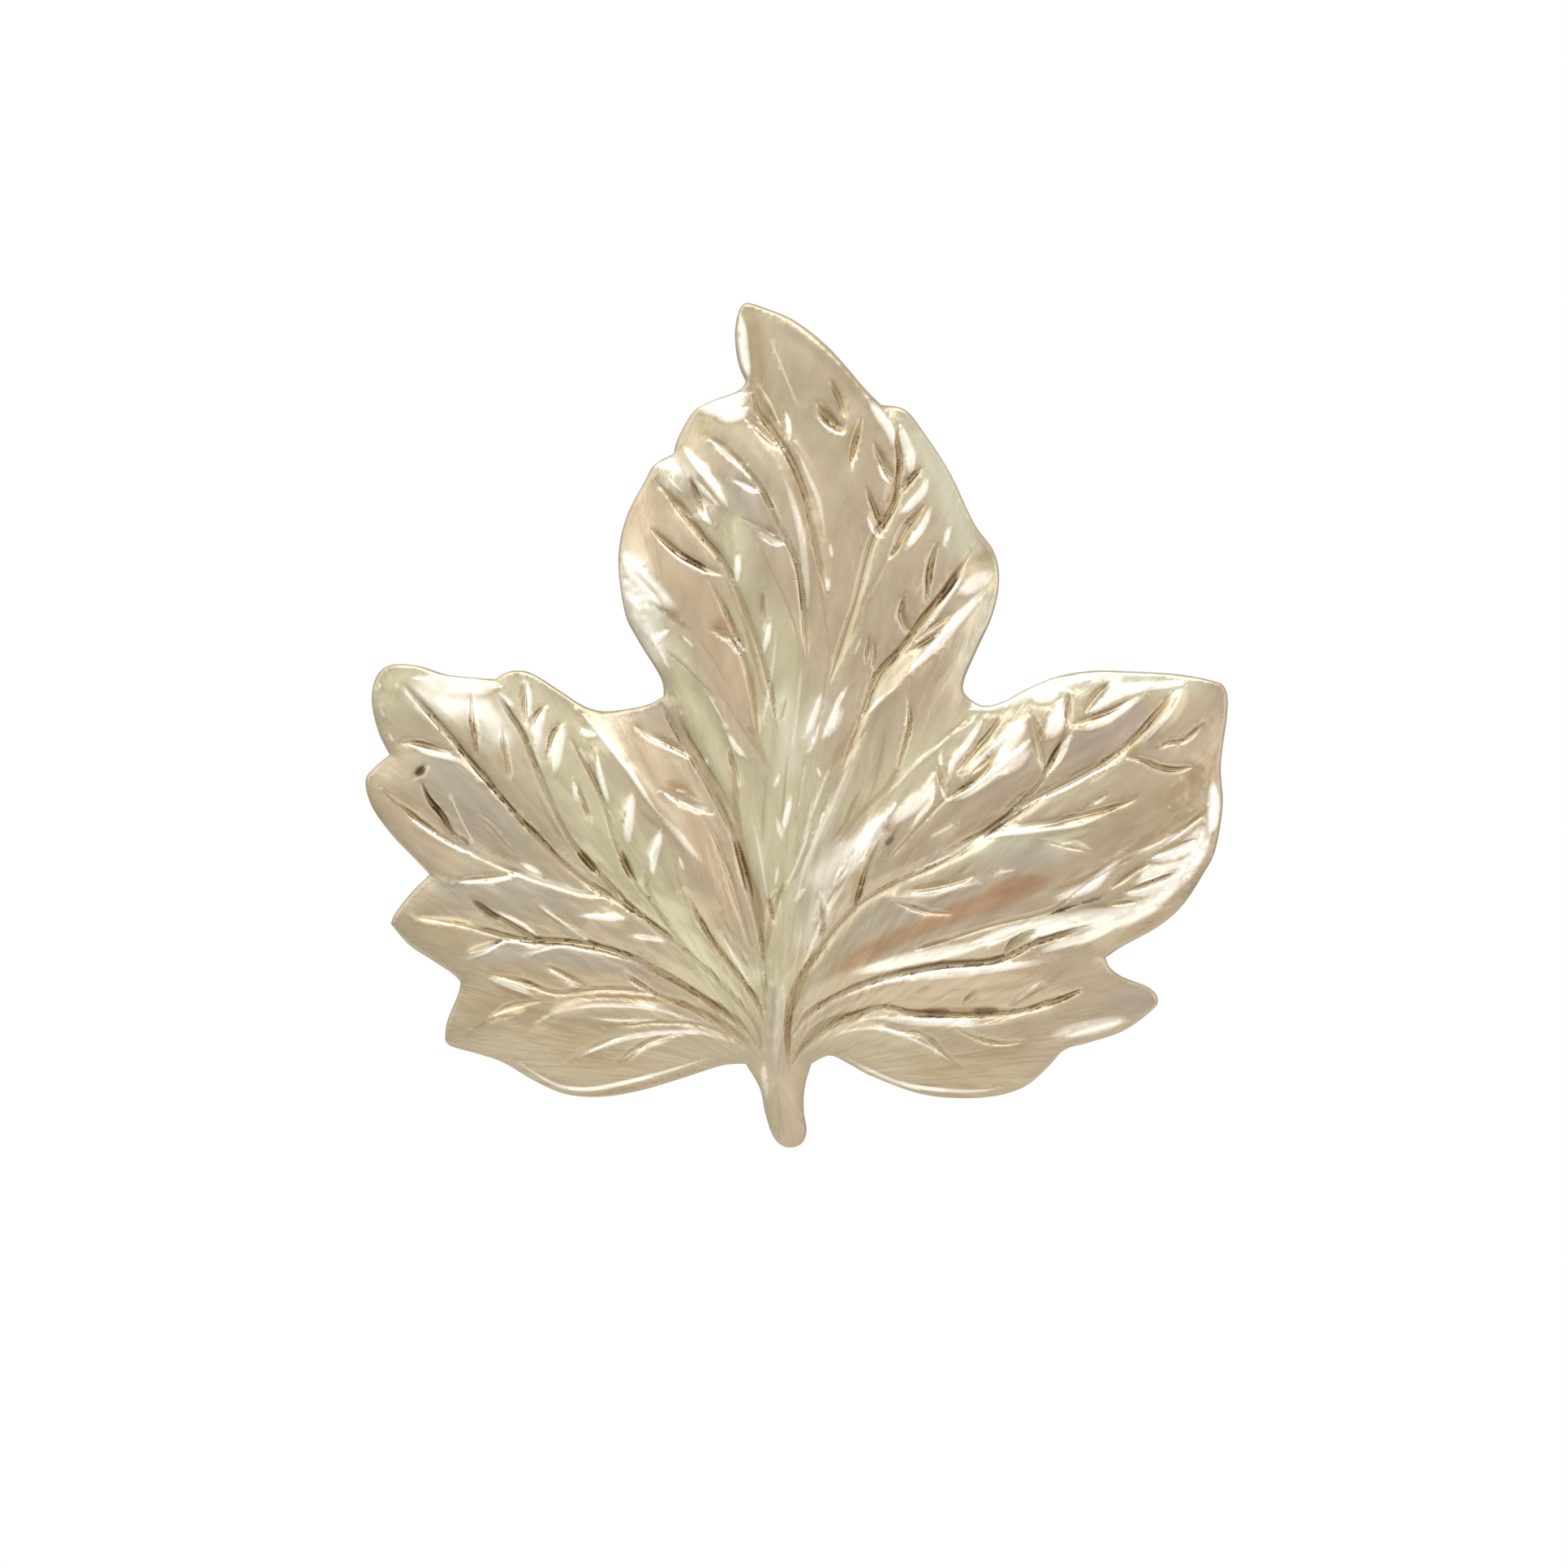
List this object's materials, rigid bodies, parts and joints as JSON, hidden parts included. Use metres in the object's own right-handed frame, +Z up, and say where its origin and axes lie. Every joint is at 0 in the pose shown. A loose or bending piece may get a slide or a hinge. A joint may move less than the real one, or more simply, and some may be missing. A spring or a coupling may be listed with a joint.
{
  "type": "leaf brooch",
  "caption": "Silver brooch shaped as a lobed leaf with engraved veins, with a hinged pin and a rotating safety catch behind.",
  "frame": {"origin": "the middle of the pin, where the cloth holds the brooch", "axes": "+Z up the leaf from its stem to its tip, +X to the right of someone facing the leaf, +Y out of its back, towards the wearer"},
  "size_m": [0.0499, 0.0073, 0.0489],
  "materials": {
    "leaf_silver": "polished silver with a warm tarnish, darker in the engraved veins",
    "finding_silver": "soldered silver, half polished",
    "pin_metal": "drawn nickel silver wire, polished"
  },
  "bodies": {
    "brooch": {"leaf": "leaf_silver", "hinge_plate": "finding_silver", "hinge_knuckle": "finding_silver", "hinge_rivet": "pin_metal", "catch_plate": "finding_silver", "catch_housing": "finding_silver"},
    "pin": {"pin_stem": "pin_metal"},
    "lock": {"catch_lock": "finding_silver"}
  },
  "joints": [
    {"name": "pin_hinge", "type": "hinge", "parent": "brooch", "child": "pin", "pos_m": [-0.015, 0, 0], "axis": [0, 0, 1], "range_deg": [0, 80]},
    {"name": "catch_turn", "type": "hinge", "parent": "brooch", "child": "lock", "pos_m": [0.015, 0, 0], "axis": [-1, 0, 0], "range_deg": [0, 115]}
  ]
}
